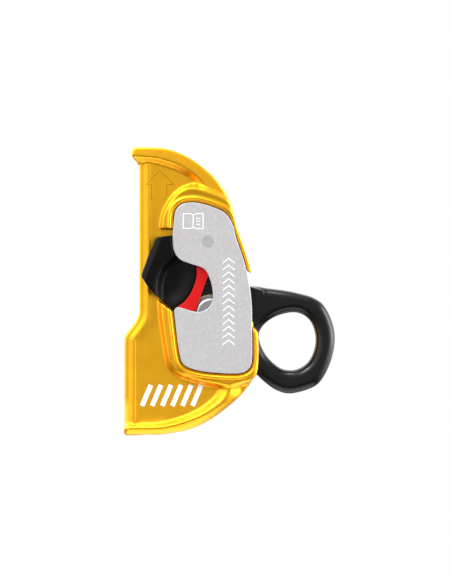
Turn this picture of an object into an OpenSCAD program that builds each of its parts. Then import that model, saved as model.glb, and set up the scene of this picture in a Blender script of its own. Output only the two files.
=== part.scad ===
// Cam rope clamp: forged U-section body, loaded cam with connector eye,
// two spring catches that keep the cam axle seated, two cover plates.
// X runs across the body (spine at -X), Y is the thickness, Z is the rope's
// direction. The origin is on the rope's centreline, level with the cam axle.

/* [Body] */
// height above the axle, top of the upper lip
body_top = 80.5; // [74:0.5:90]
// depth below the axle, underside of the lower lip
body_bottom = 59.5; // [55:0.5:66]
// radius of the rope trough
trough_r = 7.25; // [6.5:0.05:8]
// thickness of spine and cheeks
wall = 3; // [2.4:0.1:4]
// distance from the axle to the outside of the spine
spine_reach = 34.8; // [32:0.1:38]
// how far the lower spine steps outwards
spine_step = 7.2; // [4:0.1:10]
// how far the lips stand out from each cheek
lip_flare = 3.4; // [2:0.1:5]
// height of the pocket ribs above the cheek
rib_h = 5.6; // [4.5:0.1:7]

/* [Axle and cam] */
// radius of the axle
axle_r = 7.15; // [5:0.05:8.5]
// half length of the axle
axle_half = 13.9; // [13:0.1:14]
// running clearance of the axle in its seats
axle_clear = 0.05; // [0.02:0.01:0.1]
// radius of the cam's hub
hub_r = 14.5; // [12:0.1:16]
// gap between cam and cheek on each side
cam_gap = 1.05; // [0.9:0.05:1.6]
// radius of the axle washers
washer_r = 9; // [8:0.1:11]
// loss of cam radius for each degree of opening
cam_fall = 0.2545; // [0.2:0.005:0.28]
// gap between the closed cam and the anvil
nose_gap = 0.4; // [0.3:0.05:2]
// half thickness of the connector eye
eye_half = 5.6; // [4.5:0.1:6]

/* [Catches and plates] */
// radius of the catch rivet's flush head
rivet_head_r = 3.15; // [2.8:0.05:4]
// radius of the catch rivet's shank
rivet_r = 2.2; // [1.8:0.1:2.6]
// outer radius of the sleeve that the catch turns on
sleeve_r = 3.6; // [3.2:0.05:4.2]
// radius of the catch's hub
catch_hub_r = 6.3; // [5.8:0.1:7]
// running clearance of the catch on its sleeve
catch_clear = 0.06; // [0.02:0.01:0.1]
// thickness of the cover plates
plate_t = 1.5; // [1:0.1:2]
// height of the plate's inner face above the cheek
plate_lift = 3.95; // [3.4:0.05:4.5]
// radius of the plate studs
stud_r = 1.8; // [1.4:0.1:2.2]

/* [Display] */
// which sub-part to draw

/* [Hidden] */
$fn = 64;
gold = [0.91, 0.66, 0.1];
grey = [0.8, 0.8, 0.8];
dark = [0.09, 0.09, 0.09];
steel = [0.7, 0.7, 0.7];
red = [0.88, 0.1, 0.1];

// half widths, measured from the mid plane
in_y = trough_r;
out_y = trough_r + wall;
lip_y = out_y + lip_flare;
rib_y = out_y + rib_h;
plate_y0 = out_y + plate_lift;
plate_y1 = plate_y0 + plate_t;
catch_y0 = out_y + 0.3;
catch_y1 = plate_y0 - 0.3;
wing_y = out_y + 6.9;
cam_half = in_y - cam_gap;

// places in the X-Z plane, measured from the axle
axle_x = spine_reach - wall - trough_r;
rope_x = -axle_x;
low_rope_x = rope_x - spine_step;
rivet_at = [-1.5, 34.7];
horn_at = [10.6, 3.4];
path_r = norm(horn_at);
seat_r = axle_r + axle_clear;
slot_half = axle_r + 0.2;
studs_at = [[-8.5, 46.5], [-8, -19], [12.5, -20]];
crease = 5;
edge_deg = 19.4;
throw_deg = 9;

// smooth curve through a short list of points
function spline(a, b, c, d, t) =
    0.5 * (2 * b + (c - a) * t + (2 * a - 5 * b + 4 * c - d) * t * t
    + (3 * b - a - 3 * c + d) * t * t * t);
function curve(p, n = 4) = concat(
    [for (i = [0:len(p) - 2]) for (k = [0:n - 1])
        spline(p[max(i - 1, 0)], p[i], p[i + 1], p[min(i + 2, len(p) - 1)], k / n)],
    [p[len(p) - 1]]);
function arc(c, r, a0, a1, n) =
    [for (k = [0:n]) c + r * [cos(a0 + (a1 - a0) * k / n), sin(a0 + (a1 - a0) * k / n)]];
function ring_loop(p, n = 4) =
    [for (i = [0:len(p) - 1]) for (k = [0:n - 1])
        spline(p[(i + len(p) - 1) % len(p)], p[i], p[(i + 1) % len(p)],
            p[(i + 2) % len(p)], k / n)];

// a flat shape in X-Z given thickness from y0 to y1
module slab(y0, y1) {
    rotate([90, 0, 0])
        translate([0, 0, -y1])
            linear_extrude(y1 - y0)
                children();
}

// a cylinder along Y at a point of the X-Z plane
module bar(at, r, y0, y1, r2 = -1) {
    translate([at[0], y0, at[1]])
        rotate([-90, 0, 0])
            cylinder(h = y1 - y0, r1 = r, r2 = r2 < 0 ? r : r2);
}

module both_sides() {
    children();
    mirror([0, 1, 0]) children();
}

module from_axle() {
    translate([axle_x, 0, 0]) children();
}

// ---------------------------------------------------------------- body
sp = spine_reach;
st = spine_step;

// outer edge of the body from the top lip round the right to the bottom lip
upper_edge = curve([[-28, body_top], [-20, body_top - 1], [-10, body_top - 5.3],
    [0, body_top - 13], [5.5, 60.8], [9.2, 54.2], [12.5, 42], [17.5, 27.3], [20, 18.5]], 5);
lower_edge = curve([[22.8, -10], [22.8, -26.5], [20, -32.7], [12.5, -41.7],
    [0, 8.1 - body_bottom], [-12, 2.5 - body_bottom], [-25, -body_bottom]], 5);

module cheek_shape() {
    polygon(concat(
        [[-sp + crease, body_top]],
        upper_edge,
        [[20.3, -5.5], [22, -8]],
        lower_edge,
        [[-sp - st + crease, -body_bottom], [-sp - st + crease, -16]],
        curve([[-sp - st + crease + 1, -13], [-sp + crease - 2.5, -7], [-sp + crease, 0]], 4)
    ));
}

// the spine's section: a bar across the back with two rounded edges
module spine_section(x, half, round_r, more = 0) {
    for (s = [-1, 1])
        translate([x + round_r, s * (half - round_r)])
            circle(r = round_r, $fn = 32);
    translate([x, round_r - half]) square([round_r, 2 * (half - round_r)]);
    translate([x + round_r, -half]) square([round_r + more, 2 * half]);
}

module spine_run(x, half, round_r, z0, z1, more = 0) {
    translate([0, 0, z0])
        linear_extrude(z1 - z0)
            spine_section(x, half, round_r, more);
}

// the S-shaped step of the spine, as short runs between stations
step_at = [[1, 0], [-2.5, -1], [-5.2, -2.6], [-8, -4.7], [-10.6, -6.4], [-15, -st]];
module spine_step_runs() {
    for (i = [0:len(step_at) - 2])
        hull()
            for (k = [i, i + 1])
                translate([0, 0, step_at[k][0] - 0.01])
                    linear_extrude(0.02)
                        spine_section(-sp + step_at[k][1], out_y, crease);
}

// lips: flared bands round the two mouths of the rope channel
top_ridge = curve([[2.5, 56], [-2, 61.8], [-10, body_top - 11.5], [-20, body_top - 7],
    [-28, body_top - 5.2], [-sp - 4, body_top - 5.2]], 4);
low_ridge = curve([[-sp - st - 1, 5.3 - body_bottom], [-35, 4.9 - body_bottom],
    [-22, 5.6 - body_bottom], [-11, 8 - body_bottom], [-2, 12.5 - body_bottom],
    [7, 19 - body_bottom], [12, 23.5 - body_bottom]], 4);

module top_lip() {
    intersection() {
        slab(-lip_y, lip_y)
            polygon(concat([[-sp - 4, body_top]], [for (i = [0:25]) upper_edge[i]], top_ridge));
        spine_run(-sp - 3.7, lip_y, crease + 2, 40, body_top, 80);
    }
}

module low_lip() {
    intersection() {
        slab(-lip_y, lip_y)
            polygon(concat(low_ridge, [for (i = [10:30]) lower_edge[i]],
                [[-sp - st - 1, -body_bottom]]));
        spine_run(-sp - st - 0.5, lip_y, crease + 2, -body_bottom, -20, 80);
    }
}

// raised pocket rib round the cover plate, with gaps for catch and cam arm
pocket_out = ring_loop([[-25, 40], [-23.8, 49], [-18, 57.2], [-9, 61], [2, 59], [9.5, 53.6],
    [12.5, 42], [17.5, 27.3], [20.4, 16], [22.5, 0], [22.8, -10], [22.8, -24], [20, -31],
    [10, -35], [-1, -35.5], [-12, -31.2], [-19.5, -25.6], [-22.2, -17], [-24, -5],
    [-25.6, 8], [-25.8, 25]], 4);
pocket_in = ring_loop([[-20.1, 44], [-18.4, 51], [-14.5, 55], [-8, 56], [1, 53.6],
    [8.6, 50], [12.6, 41], [16.2, 28], [18.6, 18], [20.4, 8], [21, -4], [21.1, -22],
    [19.4, -28.6], [14, -31], [4, -31.2], [-8, -29.6], [-14.6, -26.8], [-17.2, -20],
    [-18.8, -10], [-20.2, 2], [-20.8, 22]], 4);

module rib_shape() {
    difference() {
        polygon(pocket_out);
        polygon(pocket_in);
        // gap for the catch
        polygon([[-40, 41.6], [-19, 40.95], [-14, 40.3], [-14, -2.1], [-19.4, 1.5],
            [-22, 3.3], [-25.2, 5.8], [-40, 19.4]]);
        // gap for the cam arm
        translate([14, -5.5]) square([20, 24]);
    }
}

module slot_shape() {
    // seat of the axle
    circle(r = seat_r);
    // path of the axle round the horn and out to the right
    difference() {
        translate(horn_at) circle(r = path_r + slot_half, $fn = 96);
        translate(horn_at) circle(r = path_r - slot_half, $fn = 48);
        // the part left of the horn and below the seat stays solid
        polygon([[0, 0], horn_at, horn_at + [0, -40], [-40, -40], [-40, 13.3]]);
        // so does the cheek below the way out
        translate([horn_at[0] - 1, -44]) square([60, 40]);
        // foot of the horn
        translate([horn_at[0] - path_r + slot_half, -30])
            square([2 * (path_r - slot_half), 30 + horn_at[1]]);
    }
}

module channel() {
    // rope trough: upper run, anvil zone, S-step and lower run
    zu = 22;
    translate([rope_x, 0, zu]) cylinder(h = body_top + 1 - zu, r = trough_r);
    translate([rope_x, 0, -1]) cylinder(h = zu + 1, r = trough_r + 0.3);
    translate([low_rope_x, 0, -body_bottom - 1])
        cylinder(h = body_bottom + 1 - 13, r = trough_r + 0.3);
    translate([rope_x, 0, -1])
        rotate([0, 180 + atan(spine_step / 12), 0])
            translate([0, 0, -2.5])
                cylinder(h = norm([spine_step, 12]) + 5, r = trough_r + 0.15);
    // gap between the cheeks
    slab(-in_y, in_y)
        polygon([[rope_x, body_top + 5], [60, body_top + 5], [60, -body_bottom - 5],
            [low_rope_x, -body_bottom - 5], [low_rope_x, -13], [rope_x, -1]]);
    // flared mouths
    fl = 2.6;
    translate([rope_x, 0, body_top - 6])
        cylinder(h = 6.5, r1 = trough_r, r2 = trough_r + fl);
    translate([low_rope_x, 0, -body_bottom - 0.5])
        cylinder(h = 6.5, r1 = trough_r + fl, r2 = trough_r + 0.3);
    translate([rope_x, 0, body_top - 6])
        rotate([90, 0, 90])
            linear_extrude(60)
                polygon([[-in_y, 0], [in_y, 0], [in_y + fl, 6.5], [-in_y - fl, 6.5]]);
    translate([low_rope_x, 0, -body_bottom + 6])
        rotate([90, 0, 90])
            linear_extrude(80)
                polygon([[-in_y, 0], [in_y, 0], [in_y + fl, -6.5], [-in_y - fl, -6.5]]);
}

module frame() {
    color(gold)
        from_axle()
            difference() {
                union() {
                    slab(-out_y, out_y) cheek_shape();
                    spine_run(-sp, out_y, crease, 1, body_top - 2);
                    spine_run(-sp - st, out_y, crease, -body_bottom, -15);
                    spine_step_runs();
                    top_lip();
                    low_lip();
                    both_sides() {
                        slab(out_y - 0.5, rib_y) rib_shape();
                        for (p = studs_at)
                            bar(p, stud_r + 2.4, out_y - 0.5, plate_y0, stud_r + 1.8);
                    }
                }
                channel();
                both_sides() {
                    slab(in_y - 1, rib_y + 5) slot_shape();
                    bar(rivet_at, rivet_r, in_y - 1, out_y + 1);
                    bar(rivet_at, rivet_r + 1, in_y - 1, in_y + 1);
                    for (p = studs_at) bar(p, stud_r, in_y - 1, plate_y0 + 1);
                }
            }
}

// ---------------------------------------------------------------- cover plates
module plate_shape() {
    polygon(concat(
        // over the top and down the outer edge
        curve([[-18, 45], [-17.2, 49.5], [-14.5, 52.6], [-10, 53.7], [-5, 53.2], [3, 50.7],
            [7.5, 48], [10.5, 43], [12.4, 36], [16, 25.4], [18.5, 15], [19.8, 4],
            [20, -10], [20, -22], [18.8, -26.5], [15, -29], [8, -29.3], [-3, -28.4],
            [-10.5, -26.6], [-13.8, -24.2], [-15.2, -20], [-16.7, -9], [-17.9, 1]], 4),
        // round the notch that shows the catch
        curve([[-17, 2.5], [-15.6, 2.9], [-12.5, 2], [-8, 0.8], [-4.5, 0.8], [-1, 2.7],
            [0.7, 6], [0.9, 10], [0, 15], [-1.9, 19.8], [-4.6, 22.2], [-9.5, 23.8],
            [-14.6, 25.8], [-17.5, 29.2], [-18.6, 34], [-18.4, 40]], 4)
    ));
}

module cover_plate(side) {
    color(grey)
        from_axle()
            mirror([0, side, 0])
                difference() {
                    slab(-plate_y1, -plate_y0) plate_shape();
                    bar(rivet_at, rivet_head_r, -plate_y1 - 1, -plate_y0 - 0.6);
                    bar(rivet_at, rivet_r, -plate_y0 - 1, -plate_y0 + 1);
                }
}

module catch_rivet(side) {
    color(steel)
        from_axle()
            mirror([0, side, 0]) {
                bar(rivet_at, rivet_head_r, -plate_y1, -plate_y0 - 0.6);
                bar(rivet_at, rivet_r, -plate_y1, -in_y);
                bar(rivet_at, rivet_r + 1, -in_y - 1, -in_y);
            }
}

module catch_sleeve(side) {
    color(steel)
        from_axle()
            mirror([0, side, 0])
                difference() {
                    bar(rivet_at, sleeve_r, -plate_y0, -out_y);
                    bar(rivet_at, rivet_r, -plate_y0 - 1, -out_y + 1);
                }
}

module plate_studs(side) {
    color(steel)
        from_axle()
            mirror([0, side, 0])
                for (p = studs_at)
                    bar(p, stud_r, -plate_y0, -in_y - 0.1);
}

// ---------------------------------------------------------------- catches
// straight edge that holds the axle in its seat
edge_dir = [sin(edge_deg), cos(edge_deg)];
edge_out = [cos(edge_deg), -sin(edge_deg)];
edge_foot = -edge_out * (axle_r + 0.2);

module catch_shape() {
    a = edge_foot + edge_dir * -1.6;
    b = edge_foot + edge_dir * 22;
    union() {
        polygon(concat(
            [b, a, a + [-2.4, -0.9]],
            [[-17.7, 1.4], [-22.3, 4.6], [-28, 10], [-31, 13.5]],
            arc([-31.5, 18.3], 2.2, 215, 160, 4),
            [[-30, 29], [-26.6, 36.3], [-25.8, 36.9], [-19, 37.7],
                rivet_at + [-3, catch_hub_r - 0.6]]
        ));
        translate(rivet_at) circle(r = catch_hub_r);
    }
}

// raised wing that the thumb pushes, clear of the plate over the whole throw
module wing_shape() {
    polygon(concat(
        [[-20.4, 37.5], [-25.8, 36.9], [-26.6, 36.3], [-30, 29]],
        arc([-31.5, 18.3], 2.2, 160, 215, 4),
        [[-31, 13.5], [-28, 10], [-24.5, 7], [-24, 12], [-23.2, 20], [-21.3, 27], [-20.4, 33]]
    ));
}

// the strip of the indicator that fills the pocket at the catch's edge
module strip_shape(grow = 0) {
    a = edge_foot + edge_dir * -1.6;
    b = edge_foot + edge_dir * 20.4;
    offset(delta = grow)
        polygon(concat([b, a], curve([[-13, 1.4], [-16, 3.1], [-13, 5.4], [-9.4, 10.4],
            [-7, 17.5], [-7.1, 23]], 4)));
}

module catch_body(side) {
    color(dark)
        from_axle()
            mirror([0, side, 0])
                difference() {
                    union() {
                        slab(-catch_y1, -catch_y0) catch_shape();
                        slab(-wing_y, -catch_y0) wing_shape();
                    }
                    // thumb dish, scooped along the wing
                    translate([-14.5, -wing_y - 10.4, 17])
                        rotate([0, 25, 0])
                            cylinder(h = 80, r = 16, center = true);
                    // outer facet of the wing
                    translate([-31.5, -wing_y - 2.2, 18])
                        rotate([0, 25, 0])
                            rotate([0, 0, 38])
                                cube([4, 8, 80], center = true);
                    // bearing on the sleeve, spring pocket beside it
                    bar(rivet_at, sleeve_r + catch_clear, -catch_y1 - 1, -catch_y0 + 1);
                    bar(rivet_at, 5.1, -catch_y0 - 1.9, -catch_y0 + 1);
                    translate([rivet_at[0] - 9.5, -catch_y0 - 1.9, rivet_at[1] - 5])
                        cube([9.5, 3, 1.3]);
                    // pocket for the indicator strip
                    slab(-catch_y1 - 6, -catch_y1 + 0.9) strip_shape();
                }
}

module indicator(side) {
    color(red)
        from_axle()
            mirror([0, side, 0])
                slab(-catch_y1, -catch_y1 + 0.9) strip_shape();
}

// a round wire along a list of points
module wire(p, r, n = 10) {
    m = len(p);
    function way(i) = let (d = p[min(i + 1, m - 1)] - p[max(i - 1, 0)]) d / norm(d);
    function side(i) = let (w = way(i), u = cross(w, [0, 1, 0.001])) u / norm(u);
    polyhedron(
        points = [for (i = [0:m - 1]) for (k = [0:n - 1])
            let (u = side(i), v = cross(way(i), u))
            p[i] + r * (u * cos(360 * k / n) + v * sin(360 * k / n))],
        faces = concat(
            [[for (k = [n - 1:-1:0]) k]],
            [for (i = [0:m - 2]) for (k = [0:n - 1])
                [i * n + k, i * n + (k + 1) % n, (i + 1) * n + (k + 1) % n, (i + 1) * n + k]],
            [[for (k = [0:n - 1]) (m - 1) * n + k]]),
        convexity = 6);
}

module catch_spring(side) {
    wr = 0.3;
    r = sleeve_r + 0.75;
    y0 = -catch_y0 - 0.36;
    turns = 1.5;
    at = [rivet_at[0], 0, rivet_at[1]];
    coil = [for (k = [0:36])
        let (a = -85 - turns * 360 * k / 36)
        at + [r * cos(a), y0 - 1.15 * k / 36, r * sin(a)]];
    tail = coil[36] + [0, 0, 0];
    color(steel)
        from_axle()
            mirror([0, side, 0])
                wire(concat([at + [-8, y0, -r + 0.15], at + [-4.4, y0, -r + 0.05]], coil), wr);
}

// ---------------------------------------------------------------- cam
eye_out = ring_loop([[19, 12.9], [27.5, 12.1], [37.5, 10.8], [45, 9.1], [50, 7.5],
    [54.6, 4.2], [58.2, -2], [60.2, -9], [60.2, -16], [58.3, -24], [55, -31], [51, -35.5],
    [44, -38.3], [37.5, -39.3], [32, -37.7], [27.5, -34.8], [22.2, -30], [17.5, -24],
    [12, -14], [4, -2], [8, 8]], 4);
eye_hole = ring_loop([[23.3, -12], [24.6, -7.4], [28, -3.8], [33, -1.1], [39.5, 0.3],
    [44.6, -0.7], [48.7, -4.4], [50.8, -10.5], [50.5, -17], [47.6, -23.5], [42.2, -27.3],
    [35.8, -27.5], [30.6, -24.5], [26, -19.2]], 4);

// nose: radius falls away above the tip, so opening the cam frees the rope
tip_r = spine_reach - wall - nose_gap;
nose = concat(
    [for (a = [112:4:180]) (tip_r - cam_fall * (180 - a)) * [cos(a), sin(a)]],
    [tip_r * [cos(184), sin(184)], (tip_r - 1.6) * [cos(188), sin(188)]],
    curve([27 * [cos(195), sin(195)], 20 * [cos(212), sin(212)],
        hub_r * [cos(235), sin(235)]], 4),
    [[0, 0]]);

heel = concat([for (p = [[58, 14], [72, 17.3], [84, 18.3], [94, 18.2], [104, 17.3],
    [112, 16.6], [124, 16.8], [124, 12]]) p[1] * [cos(p[0]), sin(p[0])]], [[0, 0]]);

// round rim of the nose, so that it dips into the trough without touching it
module nose_rim() {
    rim_r = trough_r - nose_gap;
    rotate([90, 0, 0])
        rotate_extrude($fn = 180)
            intersection() {
                union() {
                    translate([0, -cam_half]) square([-rope_x, 2 * cam_half]);
                    translate([-rope_x, 0]) circle(r = rim_r, $fn = 72);
                }
                translate([0, -cam_half]) square([60, 2 * cam_half]);
            }
}

module eye_blank() {
    // chamfered outside
    hull() {
        slab(-3.4, 3.4) polygon(eye_out);
        slab(-eye_half, eye_half) offset(delta = -2) polygon(eye_out);
    }
}

module eye_cut() {
    slab(-20, 20) polygon(eye_hole);
    both_sides()
        hull() {
            slab(2.6, 2.62) polygon(eye_hole);
            slab(eye_half + 0.2, eye_half + 0.4) offset(delta = 2.8) polygon(eye_hole);
        }
}

module cam() {
    color(dark)
        from_axle()
            difference() {
                union() {
                    // hub, nose and the root of the arm
                    bar([0, 0], hub_r, -cam_half, cam_half);
                    intersection() {
                        slab(-cam_half, cam_half) polygon(nose);
                        nose_rim();
                    }
                    slab(-cam_half, cam_half)
                        polygon(concat([[0, 14.4], [10, 13.6], [20, 12.7], [25.5, 10.4],
                            [24, 5], [22.5, 0]], arc([0, 0], hub_r - 0.5, -35, -60, 3), [[0, 0]]));
                    // thinner heel above the hub
                    slab(-4.6, 4.6) polygon(heel);
                    difference() {
                        eye_blank();
                        eye_cut();
                    }
                }
                bar([0, 0], axle_r, -cam_half - 1, cam_half + 1);
                // grip ridges across the nose
                for (a = [122:6:182])
                    bar((tip_r - cam_fall * max(0, 180 - a) + 0.35) * [cos(a), sin(a)],
                        1.05, -cam_half - 1, cam_half + 1);
                // pocket for the closing spring
                difference() {
                    bar([0, 0], axle_r + 2.6, -cam_half - 1, -cam_half + 4);
                    bar([0, 0], axle_r, -cam_half - 2, -cam_half + 5);
                }
            }
}

module axle() {
    color(steel)
        from_axle() {
            bar([0, 0], axle_r, 0.8 - axle_half, axle_half - 0.8);
            bar([0, 0], axle_r - 0.8, -axle_half, 0.8 - axle_half, axle_r);
            bar([0, 0], axle_r, axle_half - 0.8, axle_half, axle_r - 0.8);
        }
}

module axle_washer(side) {
    color(steel)
        from_axle()
            mirror([0, side, 0])
                difference() {
                    bar([0, 0], washer_r, -cam_half - 0.75, -cam_half);
                    bar([0, 0], axle_r, -cam_half - 2, -cam_half + 1);
                }
}

module cam_spring() {
    wr = 0.45;
    r = axle_r + 1.3;
    turns = 2.5;
    coil = [for (k = [0:60])
        let (a = 90 + turns * 360 * k / 60)
        [r * cos(a), -cam_half + 0.75 + 2.7 * k / 60, r * sin(a)]];
    color(steel)
        from_axle()
            wire(coil, wr);
}

// ---------------------------------------------------------------- drawing
frame();
cover_plate(0);  // front_cover_plate
cover_plate(1);  // rear_cover_plate
catch_rivet(0);  // front_catch_rivet
catch_rivet(1);  // rear_catch_rivet
catch_sleeve(0);  // front_catch_sleeve
catch_sleeve(1);  // rear_catch_sleeve
plate_studs(0);  // front_plate_studs
plate_studs(1);  // rear_plate_studs
catch_spring(0);  // front_catch_spring
catch_spring(1);  // rear_catch_spring
catch_body(0);  // front_catch
catch_body(1);  // rear_catch
indicator(0);  // front_catch_indicator
indicator(1);  // rear_catch_indicator
cam();
axle();
axle_washer(0);  // front_axle_washer
axle_washer(1);  // rear_axle_washer
cam_spring();
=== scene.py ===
# %% [markdown]
# # A cam rope clamp, modelled around its engineering frame
#
# The object is a hand-sized rope clamp. A gold forged body wraps round the
# rope, a black cam with a connector eye squeezes it, and on each side a grey
# plate covers a black spring catch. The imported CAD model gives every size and
# joint. This script adds the surfaces: smooth forged skins, turned steel,
# moulded nylon and white print.

# %% Load the fixed frame
import math

import bmesh
import bpy
import numpy as np
from mathutils import Matrix, Vector
from mathutils.bvhtree import BVHTree


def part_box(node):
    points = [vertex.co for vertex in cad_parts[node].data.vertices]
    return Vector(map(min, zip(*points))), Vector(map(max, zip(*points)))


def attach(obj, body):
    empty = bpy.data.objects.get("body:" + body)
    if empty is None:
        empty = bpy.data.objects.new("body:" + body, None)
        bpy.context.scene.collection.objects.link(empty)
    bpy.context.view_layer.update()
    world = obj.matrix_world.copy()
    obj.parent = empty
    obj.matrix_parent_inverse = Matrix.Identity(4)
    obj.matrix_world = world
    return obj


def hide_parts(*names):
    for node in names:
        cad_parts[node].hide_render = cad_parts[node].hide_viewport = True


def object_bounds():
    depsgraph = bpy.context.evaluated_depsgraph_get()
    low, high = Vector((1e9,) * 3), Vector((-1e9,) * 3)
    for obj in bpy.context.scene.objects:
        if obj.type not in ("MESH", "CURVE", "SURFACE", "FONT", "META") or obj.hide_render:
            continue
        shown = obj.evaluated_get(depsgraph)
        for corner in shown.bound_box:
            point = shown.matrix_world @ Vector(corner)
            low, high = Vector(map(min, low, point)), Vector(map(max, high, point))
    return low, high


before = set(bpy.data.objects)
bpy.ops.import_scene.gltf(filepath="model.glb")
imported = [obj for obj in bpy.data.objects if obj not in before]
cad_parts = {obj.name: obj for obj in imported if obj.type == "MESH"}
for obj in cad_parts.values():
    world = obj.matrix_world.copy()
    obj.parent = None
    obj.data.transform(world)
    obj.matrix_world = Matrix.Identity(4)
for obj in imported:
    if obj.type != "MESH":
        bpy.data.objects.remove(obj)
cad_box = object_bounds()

# %% [markdown]
# ## Where things are
#
# All shapes below are drawn in millimetres from the cam's axle, in the upright
# X-Z plane, with the thickness along Y. The axle's place comes from the CAD
# node, so the drawing lands on the frame with no fitting by eye. One function
# turns those millimetres into Blender's metres.

# %% Places taken from the frame
MM = 0.001
axle_low, axle_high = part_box("axle")
AXLE_X = (axle_low.x + axle_high.x) / 2 / MM
# inner and outer face of a cheek, and the crest of the lips
IN_Y, OUT_Y, LIP_Y = 7.25, 10.25, 13.65
RIB_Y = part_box("frame")[1].y / MM
PLATE_Y0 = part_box("rear_cover_plate")[0].y / MM
PLATE_Y1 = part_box("rear_cover_plate")[1].y / MM
RIVET = np.array([-1.5, 34.7])
print("axle is", round(AXLE_X, 2), "mm from the rope; plates lie at", round(PLATE_Y0, 2))


def metres(points):
    """Points in millimetres from the axle, as metres in the row's frame."""
    return (np.asarray(points, float) + np.array([AXLE_X, 0.0, 0.0])) * MM


# %% [markdown]
# ## Camera
#
# The view is square on to the front plate. A long lens from far away keeps the
# perspective nearly flat, which suits a product picture. The lens follows from
# the height that the frame takes in.

# %% Camera
VIEW_HEIGHT = 284.8752 * MM
VIEW_DISTANCE = 2.5
# the middle of the view, from the axle
VIEW_RIGHT, VIEW_UP = 7.32 * MM, 10.24 * MM
camera_data = bpy.data.cameras.new("camera")
camera = bpy.data.objects.new("camera", camera_data)
bpy.context.scene.collection.objects.link(camera)
bpy.context.scene.camera = camera
camera_data.sensor_fit = "VERTICAL"
camera_data.sensor_height = 36.0
camera_data.lens = camera_data.sensor_height * VIEW_DISTANCE / VIEW_HEIGHT
camera.location = (AXLE_X * MM + VIEW_RIGHT, -VIEW_DISTANCE, VIEW_UP)
camera.rotation_euler = (math.pi / 2, 0.0, 0.0)
print("lens", round(camera_data.lens, 1), "mm")

# %% [markdown]
# ## Colours and nodes
#
# Colours are written as sRGB hex values, as a paint chart gives them, and one
# function turns them into the linear values that the renderer works in. One
# small function adds a node with its settings and its links, so each material
# below reads as a short list of steps.

# %% Colour and node helpers


def linear(hex_code):
    """sRGB hex to linear RGBA."""
    parts = [int(hex_code[i:i + 2], 16) / 255 for i in (1, 3, 5)]
    light = [c / 12.92 if c <= 0.04045 else ((c + 0.055) / 1.055) ** 2.4 for c in parts]
    return light + [1.0]


def add(tree, kind, inputs=None, **settings):
    """Add one node; an input is a plain value or another node's output."""
    node = tree.nodes.new(kind)
    for key, value in settings.items():
        setattr(node, key, value)
    for key, value in (inputs or {}).items():
        if isinstance(value, bpy.types.NodeSocket):
            tree.links.new(value, node.inputs[key])
        else:
            node.inputs[key].default_value = value
    return node


def finish_of(name, dark, light, patch_mm, grain_mm, bump_mm, roughness, spread, **fixed):
    """A surface with slow colour patches, a fine grain and uneven gloss.

    patch_mm and grain_mm are the real sizes of patches and grain, bump_mm the
    grain's height, and spread the part of the roughness that varies.
    """
    material = bpy.data.materials.new(name)
    material.use_nodes = True
    tree = material.node_tree
    tree.nodes.clear()
    place = add(tree, "ShaderNodeTexCoord").outputs["Object"]
    patches = add(tree, "ShaderNodeTexNoise", {
        "Vector": place, "Scale": 1 / (patch_mm * MM), "Detail": 3.0, "Roughness": 0.55})
    grain = add(tree, "ShaderNodeTexNoise", {
        "Vector": place, "Scale": 1 / (grain_mm * MM), "Detail": 2.0, "Roughness": 0.6})
    both = add(tree, "ShaderNodeMath", {
        0: patches.outputs["Fac"], 1: grain.outputs["Fac"]}, operation="ADD")
    # the sum of two noises lies mostly between these two values
    span = {"Value": both.outputs[0], "From Min": 0.6, "From Max": 1.4}
    colour = add(tree, "ShaderNodeMix", {
        "A": linear(dark), "B": linear(light)}, data_type="RGBA")
    share = add(tree, "ShaderNodeMapRange", span)
    tree.links.new(share.outputs[0], colour.inputs["Factor"])
    gloss = add(tree, "ShaderNodeMapRange", {
        **span,
        "To Min": roughness - spread, "To Max": roughness + spread})
    bump = add(tree, "ShaderNodeBump", {
        "Strength": 1.0, "Distance": bump_mm * MM, "Height": grain.outputs["Fac"]})
    shader = add(tree, "ShaderNodeBsdfPrincipled", {
        "Base Color": colour.outputs["Result"], "Roughness": gloss.outputs[0],
        "Normal": bump.outputs[0], **fixed})
    add(tree, "ShaderNodeOutputMaterial", {"Surface": shader.outputs[0]})
    return material


# %% [markdown]
# ## Finishes
#
# The body is drop-forged aluminium, tumbled and then dyed gold in anodising.
# Anodising leaves a satin metal whose colour is in the film, so it is a metal
# with a coloured base and a medium roughness. The plates are bead-blasted and
# clear anodised: a pale metal with a fine grain of about a quarter millimetre.
# The cam is forged aluminium dyed black, and the catches are moulded nylon. A
# dyed black film hardly shows its metal, so it is set as a dielectric with a
# low, broad sheen. Axle, rivets, sleeves and washers are stainless steel.

# %% Materials
gold = finish_of("gold_anodised_forged_aluminium", "#F8AE00", "#FFC004", 9.0, 0.45, 0.012,
                 0.36, 0.05,
                 **{"Metallic": 0.92, "Coat Weight": 0.45, "Coat Roughness": 0.3})
grey = finish_of("bead_blasted_clear_anodised_aluminium", "#B4B2B3", "#D2D0D1", 0.8, 0.38,
                 0.03, 0.5, 0.05, Metallic=0.45)
black = finish_of("satin_black_anodised_forged_aluminium", "#040405", "#0A0A0B", 7.0, 0.4,
                  0.01, 0.24, 0.03, **{"IOR": 1.5, "Specular IOR Level": 0.32})
nylon = finish_of("black_moulded_nylon", "#020202", "#060606", 5.0, 0.35, 0.012,
                  0.36, 0.04, **{"IOR": 1.53, "Specular IOR Level": 0.12})
red = finish_of("red_moulded_nylon", "#C4090B", "#D41011", 5.0, 0.35, 0.01,
                0.42, 0.04, **{"IOR": 1.53, "Specular IOR Level": 0.2})
steel = finish_of("turned_stainless_steel", "#9C9C9C", "#BCBCBC", 3.0, 0.3, 0.012,
                  0.36, 0.06, Metallic=1.0)
rivet_steel = finish_of("blasted_stainless_steel_rivet", "#A2A2A2", "#B4B4B4", 3.0, 0.35, 0.015,
                        0.5, 0.05, Metallic=0.4)
wire_steel = finish_of("drawn_spring_wire", "#8C8C8C", "#B0B0B0", 2.0, 0.2, 0.004,
                       0.3, 0.05, Metallic=1.0)
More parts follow.
